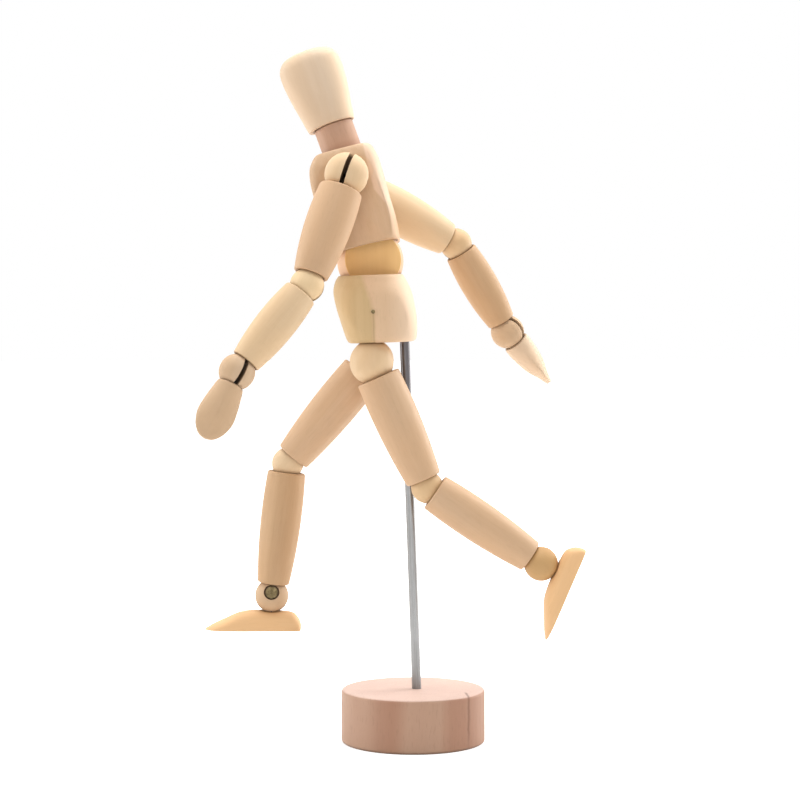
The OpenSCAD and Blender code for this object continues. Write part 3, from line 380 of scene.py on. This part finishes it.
CUPS = {
    "pelvis": ((WAIST, WAIST_CUP), (HIP, HIP_CUP), (mirrored(HIP, -1), HIP_CUP)),
    "chest": (((0, 0, 0), WAIST_CUP), (NECK, NECK_CUP), (SHOULDER, SHOULDER_CUP),
              (mirrored(SHOULDER, -1), SHOULDER_CUP)),
    "head": (((0, 0, 0), NECK_CUP),),
    "hand": (((0, 0, 0), WRIST_CUP),),
    "foot": (((0, 0, 0), ANKLE_CUP),),
    "upper_arm": limb_cups(SHOULDER_CUP, UPPER_ARM, ELBOW_CUP),
    "forearm": limb_cups(ELBOW_CUP, FOREARM, WRIST_CUP),
    "thigh": limb_cups(HIP_CUP, THIGH, KNEE_CUP),
    "shin": limb_cups(KNEE_CUP, SHIN, ANKLE_CUP)}

# Radii of the sawn balls; nearer their centres than these, the slot and holes are painted dark as shade
BALLS = {"shoulder_ball": 9.1, "elbow_ball": 7, "wrist_ball": 7.4,
         "hip_ball": 9.2, "knee_ball": 6.8, "ankle_ball": 7.2}

# Reach of the sanded edges on the carved blocks
SOFT = {"pelvis": 4, "chest": 1.2}

# Woods: colour, strength of the figure, strength of the flecks, pieces
WOODS = (
    ((0.43, 0.25, 0.17), 1.0, 0.6, ("base",)),
    ((0.59, 0.42, 0.22), 0.6, 0.3, ("pelvis",)),
    ((0.90, 0.58, 0.25), 0.5, 0.1, ("waist",)),
    ((0.55, 0.34, 0.23), 0.9, 0.4, ("neck",)),
    ((0.72, 0.55, 0.39), 0.5, 0.1, ("head", "right_hand")),
    ((0.62, 0.42, 0.26), 0.8, 0.3,
     ("chest", "left_upper_arm", "left_thigh", "right_thigh", "left_shin")),
    ((0.56, 0.36, 0.20), 0.9, 0.2, ("right_forearm", "right_shin")),
    ((0.72, 0.53, 0.33), 0.6, 0.2,
     ("left_forearm", "right_upper_arm", "left_shoulder_ball", "right_shoulder_ball",
      "left_hip_ball", "right_hip_ball", "right_knee_ball")),
    ((0.80, 0.60, 0.36), 0.5, 0.2, ("left_elbow_ball",)),
    ((0.67, 0.47, 0.27), 0.5, 0.2, ("right_elbow_ball", "left_knee_ball")),
    ((0.59, 0.42, 0.27), 0.7, 0.2,
     ("left_hand", "left_wrist_ball", "right_wrist_ball", "right_ankle_ball")),
    ((0.55, 0.34, 0.15), 0.6, 0.3, ("left_ankle_ball",)),
    ((0.82, 0.53, 0.28), 0.7, 0.2, ("left_foot", "right_foot")))
SHADES = {n: (colour, figure, flecks) for colour, figure, flecks, names in WOODS for n in names}


# Carved pieces: finer lofts of the same stations, cut by the same balls and bores
def along(rows, u):
    """A smooth curve through the rows, at the share u of its way."""
    n = len(rows) - 1
    k = min(n - 1, int(u * n))
    t = u * n - k
    a, b, c, d = (rows[max(0, min(n, i))] for i in (k - 1, k, k + 1, k + 2))
    square, cube = 2 * a - 5 * b + 4 * c - d, 3 * b - a - 3 * c + d
    return 0.5 * (2 * b + (c - a) * t + square * t * t + cube * t ** 3)


def lofted(stations, count, steps):
    """Points and faces of a loft; a station is z, half width, front, back and squareness."""
    rows = np.array(stations, float)
    verts = []
    for k in range(steps + 1):
        z, half, front, back, square = along(rows, k / steps)
        a = 2 * np.pi * np.arange(count) / count
        ca, sa, e = np.cos(a), np.sin(a), 2 / square
        x = half * np.sign(ca) * np.abs(ca) ** e
        y = (front + back) / 2 + (back - front) / 2 * np.sign(sa) * np.abs(sa) ** e
        verts += [(px, py, z) for px, py in zip(x, y)]
    faces = []
    for k in range(steps):
        low, high = k * count, (k + 1) * count
        for i in range(count):
            j = (i + 1) % count
            faces.append([low + i, low + j, high + j, high + i])
    faces.append([i for i in range(count - 1, -1, -1)])
    faces.append([steps * count + i for i in range(count)])
    return verts, faces


def mesh_piece(name, verts, faces, place):
    mesh = bpy.data.meshes.new(name)
    mesh.from_pydata([place @ Vector(v) * MM for v in verts], [], faces)
    obj = bpy.data.objects.new(name, mesh)
    bpy.context.scene.collection.objects.link(obj)
    return obj


def ball(r, centre, segments=128):
    bm = bmesh.new()
    bmesh.ops.create_uvsphere(bm, u_segments=segments, v_segments=segments // 2, radius=r,
                              matrix=Matrix.Translation(centre))
    return bm


def rod(r, start, end):
    a, b = Vector(start), Vector(end)
    lie = Matrix.Translation((a + b) / 2) @ (b - a).to_track_quat("Z", "Y").to_matrix().to_4x4()
    bm = bmesh.new()
    bmesh.ops.create_cone(bm, cap_ends=True, segments=64, radius1=r, radius2=r,
                          depth=(b - a).length, matrix=lie)
    return bm


def block(low, high, lie=Matrix.Identity(4)):
    a, b = Vector(low), Vector(high)
    size = Matrix.Diagonal((*(b - a), 1))
    bm = bmesh.new()
    bmesh.ops.create_cube(bm, size=1, matrix=lie @ Matrix.Translation((a + b) / 2) @ size)
    return bm


def side_block(s, width, depth, low, high, lie):
    """A block that starts at the place's middle plane and reaches out to one side."""
    return block((min(0, s * width), -depth, low), (max(0, s * width), depth, high), lie)


SHARP = 32  # degrees between faces from which an edge stays sharp


def carve(obj, place, cutters):
    tools = []
    for i, bm in enumerate(cutters):
        mesh = bpy.data.meshes.new(f"cut{i}")
        bmesh.ops.transform(bm, matrix=Matrix.Diagonal((MM, MM, MM, 1)) @ place, verts=bm.verts)
        bm.to_mesh(mesh)
        bm.free()
        tool = bpy.data.objects.new(f"cut{i}", mesh)
        bpy.context.scene.collection.objects.link(tool)
        mod = obj.modifiers.new(f"cut{i}", "BOOLEAN")
        mod.operation = "DIFFERENCE"
        mod.solver = "EXACT"
        mod.object = tool
        tools.append(tool)
    bpy.context.view_layer.update()
    done = bpy.data.meshes.new_from_object(obj.evaluated_get(bpy.context.evaluated_depsgraph_get()))
    obj.modifiers.clear()
    old = obj.data
    obj.data = done
    bpy.data.meshes.remove(old)
    for tool in tools:
        mesh = tool.data
        bpy.data.objects.remove(tool)
        bpy.data.meshes.remove(mesh)
    obj.data.shade_smooth()
    obj.data.set_sharp_from_angle(angle=math.radians(SHARP))


carved = {}


def carved_piece(n, stations, cutters, count=144, steps=96, lie=None):
    verts, faces = lofted(stations, count, steps)
    if lie:
        verts = [lie @ Vector(v) for v in verts]
    obj = mesh_piece(n + "_carved", verts, faces, at[n])
    carve(obj, at[n], cutters)
    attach(obj, node_body[n])
    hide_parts(n)
    carved[n] = obj


def pelvis_piece():
    h, bottom, hips, top = 28.3, 20, 22, 17
    pin_y, pin_z, facet = 1.5, 13, 8
    stations = [
        (0, bottom - 1.8, -8.8, 17.6, 3.4),
        (1.4, bottom, -10.2, 19.2, 3.6),
        (0.3 * h, hips - 0.2, -12.4, 19.6, 3.6),
        (0.55 * h, hips - 0.4, -14.3, 18.9, 3.4),
        (0.76 * h, (hips + top) / 2 + 0.8, -15.2, 17.6, 3),
        (0.9 * h, top + 0.9, -14.5, 15.8, 2.8),
        (h - 0.9, top, -13.5, 14.8, 2.8),
        (h, top - 1, -12.8, 14.1, 2.8)]
    cuts = [ball(WAIST_CUP, WAIST),
            rod(ROD_HOLE, (0, ROD_BEHIND, -1), (0, ROD_BEHIND, 17.3)),
            rod(SPINE_BORE, (0, WAIST[1], 11), (0, WAIST[1], 40)),
            rod(PIN_HOLE, (-18.8, pin_y, pin_z), (30, pin_y, pin_z))]
    for s in (-1, 1):
        x, y, z = mirrored(HIP, s)
        cuts += [ball(HIP_CUP, (x, y, z)), rod(HIP_BORE, (x, 0.75, -1), (x, 0.75, 14.9))]
        for g in (-1, 1):
            lie = shift(s * (hips - 0.6), pin_y, -1) @ turn("Z", s * g * facet)
            cuts.append(side_block(s, hips, 44, 0, h + 2, lie))
    carved_piece("pelvis", stations, cuts)


def chest_piece():
    z, h, bottom, wide, top = 6, 41.2, 16, 19.6, 16.5
    side_foot, side_run, side_rise = 15, 4, 28.4
    dish, dish_x = 55, 72.8
    stations = [
        (z, bottom - 1, -12.7, 13.2, 6),
        (z + 1.2, bottom, -13.6, 14, 7),
        (z + 0.25 * h, (bottom + wide) / 2 + 0.4, -15.1, 14.6, 7.5),
        (z + 0.48 * h, wide - 0.3, -15.6, 14.2, 8),
        (z + 0.7 * h, wide, -15.8, 14, 8),
        (z + 0.86 * h, wide - 0.6, -15, 13.8, 7),
        (z + 0.96 * h, wide - 2, -13, 13.2, 5.4),
        (z + h, top, -11.6, 12.2, 4.4)]
    y_arm, z_arm = SHOULDER[1:]
    cuts = [ball(WAIST_CUP, (0, 0, 0)), ball(NECK_CUP, NECK),
            rod(SPINE_BORE, (0, 0, 0), (0, 0, NECK[2])),
            rod(SHOULDER_BORE, (-40, y_arm, z_arm), (40, y_arm, z_arm))]
    tilt = math.degrees(math.atan(side_run / side_rise))
    for s in (-1, 1):
        lie = shift(side_foot * s, 0, z) @ turn("Y", s * tilt)
        cuts += [side_block(s, wide, 40, -h, 2 * h, lie),
                 ball(SHOULDER_CUP, mirrored(SHOULDER, s)),
                 ball(dish, (dish_x * s, y_arm, z_arm), 256)]
    carved_piece("chest", stations, cuts)


def head_piece():
    z, h, w, d, r, f = 5.55, 33.4, 12.2, 13.3, 10.3, 0.6
    pin_z = 17
    stations = [
        (z, r - 0.8, -r + 0.6 - f, r - 0.8 - f, 2.1),
        (z + 0.9, r - 0.2, -r - f, r - f, 2.1),
        (z + 0.22 * h, (r + w) / 2 - 0.4, -(r + d) / 2 + 0.4 - f, (r + d) / 2 - 0.5 - f, 2.2),
        (z + 0.45 * h, w - 0.5, -d + 0.6 - f, d - 0.7 - f, 2.3),
        (z + 0.68 * h, w, -d - 0.2 - f, d - 0.1 - f, 2.4),
        (z + 0.84 * h, w - 0.5, -d + 0.1 - f, d - 0.3 - f, 2.4),
        (z + 0.94 * h, w - 2.6, -d + 2.2 - f, d - 2.3 - f, 2.3),
        (z + 0.985 * h, w - 5.6, -d + 5.2 - f, d - 5.5 - f, 2.2),
        (z + h, 3.4, -5 - f, 4 - f, 2)]
    cuts = [ball(NECK_CUP, (0, 0, 0)), rod(SPINE_BORE, (0, 0, 0), (0, 0, 18.95)),
            rod(PIN_HOLE, (-12.2, 0, pin_z), (8.6, 0, pin_z))]
    carved_piece("head", stations, cuts)


def hand_piece(side):
    reach, w, k, tip = 30, 7.7, 6, 1.3
    stations = [
        (-reach, 1.2, 0.9 * tip, 1.8),
        (-reach + 0.5, 2.7, tip, 1.7),
        (-reach + 1.8, 4.4, 1.3 * tip, 1.6),
        (-reach + 4.8, w - 1.3, 2 * tip, 1.5),
        (-reach + 9.5, w, (2 * k + tip) / 3, 1.5),
        (-reach + 15, w - 0.4, k - 0.5, 1.6),
        (-reach + 20, w - 1.3, k, 1.8),
        (-6.7, w - 2, k, 2.1),
        (-5.7, w - 2.6, k - 0.5, 2.1)]
    stations = [(z, half, -thick, thick, square) for z, half, thick, square in stations]
    carved_piece(side + "hand", stations, [ball(WRIST_CUP, (0, 0, 0))], 112, 72)


def foot_piece(side):
    reach, ball_w, heel_w, h, toe = 41, 7.4, 6, 8.2, 0.9
    spare, drop, heel_back = -3, 14.8, 12.6
    stations = [
        (0, heel_w - 2.2, h - 5.6, 2.6),
        (1, heel_w - 1, h - 3.2, 2.7),
        (0.1 * reach, heel_w - 0.2, h - 0.5, 2.8),
        (0.3 * reach, (heel_w + ball_w) / 2 - 0.3, h + 0.2, 2.8),
        (0.5 * reach, ball_w - 0.4, h + 0.2, 2.7),
        (0.65 * reach, ball_w, h - 0.8, 2.6),
        (0.8 * reach, ball_w - 0.3, 0.5 * h + 0.6, 2.5),
        (0.92 * reach, ball_w - 1.7, toe + 1.5, 2.4),
        (reach - 0.9, ball_w - 3.6, toe + 0.1, 2.3),
        (reach, ball_w - 5, toe - 0.4, 2.2)]
    stations = [(z, half, spare, top, square) for z, half, top, square in stations]
    cuts = [block((-30, -90, -40), (30, 90, -drop)), ball(ANKLE_CUP, (0, 0, 0))]
    carved_piece(side + "foot", stations, cuts, 112, 96, shift(0, heel_back, -drop) @ turn("X", 90))


pelvis_piece()
chest_piece()
head_piece()
for side in ("left_", "right_"):
    hand_piece(side)
    foot_piece(side)


# Finishes
def rod_steel():
    pale, dark, shadow = (0.28, 0.28, 0.28), (0.19, 0.19, 0.187), (0.10, 0.09, 0.095)
    return metal("rod_steel", rod_at, pale, dark, 0.34, (2600, 2600, 12), (85, 125, shadow))


def screw_steel():
    pale, dark = (0.19, 0.145, 0.075), (0.038, 0.028, 0.013)
    return metal("screw_steel", Matrix.Identity(4), pale, dark, 0.40, (700, 700, 700))


def dark_steel():
    pale, dark = (0.17, 0.155, 0.135), (0.10, 0.09, 0.075)
    return metal("dark_steel", Matrix.Identity(4), pale, dark, 0.38, (900, 900, 900))


def wood_of(n, seed):
    colour, figure, flecks = SHADES[n]
    kind = n.replace("left_", "").replace("right_", "")
    return wood(n + "_wood", at[n], colour, seed, figure, flecks, "Y" if kind == "foot" else "Z",
                ZONES.get(n), CUPS.get(kind, ()), BALLS.get(kind, 0), SOFT.get(kind, 0))


for i, n in enumerate(sorted(nodes)):
    obj = carved.get(n, nodes[n])
    if n == "stand_rod":
        m = rod_steel()
    elif n.endswith(("ankle_screw", "pelvis_pin")):
        m = bpy.data.materials.get("screw_steel") or screw_steel()
    elif slots[n] == "steel":
        m = bpy.data.materials.get("dark_steel") or dark_steel()
    else:
        m = wood_of(n, i + 1)
    obj.data.materials.clear()
    obj.data.materials.append(m)


# Floor and light
def seen(tree):
    """One for rays that show the background, straight or in metal."""
    path = node(tree, "ShaderNodeLightPath")
    mirror = calc(tree, "MAXIMUM", path.outputs["Is Glossy Ray"], path.outputs["Is Transmission Ray"])
    return calc(tree, "MAXIMUM", path.outputs["Is Camera Ray"], mirror)


FLOOR = 6  # metres from the middle to its edges
floor_mesh = bpy.data.meshes.new("floor")
floor_mesh.from_pydata([(-FLOOR, -FLOOR, 0), (FLOOR, -FLOOR, 0), (FLOOR, FLOOR, 0), (-FLOOR, FLOOR, 0)],
                       [], [(0, 1, 2, 3)])
floor = bpy.data.objects.new("floor", floor_mesh)
bpy.context.scene.collection.objects.link(floor)
paper, t, shader = new_material("floor_paper")
shader.inputs["Base Color"].default_value = (0.86, 0.85, 0.84, 1)
shader.inputs["Roughness"].default_value = 0.9
shader.inputs["Specular IOR Level"].default_value = 0.0
glow = node(t, "ShaderNodeEmission", Color=(1, 1, 1, 1))
place = node(t, "ShaderNodeNewGeometry")
far = node(t, "ShaderNodeVectorMath", operation="LENGTH")
link(t, place.outputs["Position"], far.inputs[0])
fade = between(t, far.outputs["Value"], 60, 300, 0.55, 1.0)
link(t, calc(t, "MULTIPLY", seen(t), fade), glow.inputs["Strength"])
both = node(t, "ShaderNodeAddShader")
link(t, shader.outputs[0], both.inputs[0])
link(t, glow.outputs[0], both.inputs[1])
link(t, both.outputs[0], t.nodes["Material Output"].inputs["Surface"])
floor_mesh.materials.append(paper)

WORLD_LIGHT, WORLD_SEEN = 0.24, 1.0
world = bpy.data.worlds.new("studio")
bpy.context.scene.world = world
world.use_nodes = True
t = world.node_tree
sky = t.nodes["Background"]
sky.inputs["Color"].default_value = (1, 1, 1, 1)
link(t, ranged(t, seen(t), 0, 1, WORLD_LIGHT, WORLD_SEEN), sky.inputs["Strength"])


def lamp(name, place, size, power):
    """An area lamp that faces the figure's middle; places and sizes in metres, power in watts."""
    data = bpy.data.lights.new(name, "AREA")
    data.shape = "RECTANGLE"
    data.size, data.size_y = size
    data.energy = power
    obj = bpy.data.objects.new(name, data)
    obj.location = place
    obj.rotation_mode = "QUATERNION"
    obj.rotation_quaternion = (Vector((0, 0, 0.15)) - Vector(place)).to_track_quat("-Z", "Y")
    bpy.context.scene.collection.objects.link(obj)


lamp("top", (-0.1, 0.05, 1.3), (1.2, 1.2), 20)
lamp("left", (-0.35, -1.15, 0.5), (0.9, 1.2), 10)
lamp("right", (-0.5, 1.1, 0.6), (0.9, 1.2), 15)
lamp("front", (1.5, -0.3, 0.7), (0.8, 0.8), 5)

# Camera at the photograph's viewing angle: angles in degrees, distances in millimetres
ROUND, DOWN = 85, 2.54
DISTANCE, ASIDE, UP = 956, -5.6, 188
IMAGE_PX, FOCAL_PX, SENSOR = 800, 2258, 36
angle, pitch = math.radians(ROUND), math.radians(DOWN)
away = Vector((math.sin(angle), -math.cos(angle), 0))
right = Vector((math.cos(angle), math.sin(angle), 0))
view = -away * math.cos(pitch) - Vector((0, 0, math.sin(pitch)))
camera_data = bpy.data.cameras.new("camera")
camera_data.sensor_width = SENSOR
camera_data.lens = FOCAL_PX / IMAGE_PX * SENSOR
camera = bpy.data.objects.new("camera", camera_data)
camera.location = (away * DISTANCE + right * ASIDE + Vector((0, 0, UP))) * MM
camera.rotation_mode = "QUATERNION"
camera.rotation_quaternion = view.to_track_quat("-Z", "Y")
bpy.context.scene.collection.objects.link(camera)
bpy.context.scene.camera = camera
bpy.context.scene.view_settings.view_transform = "Standard"
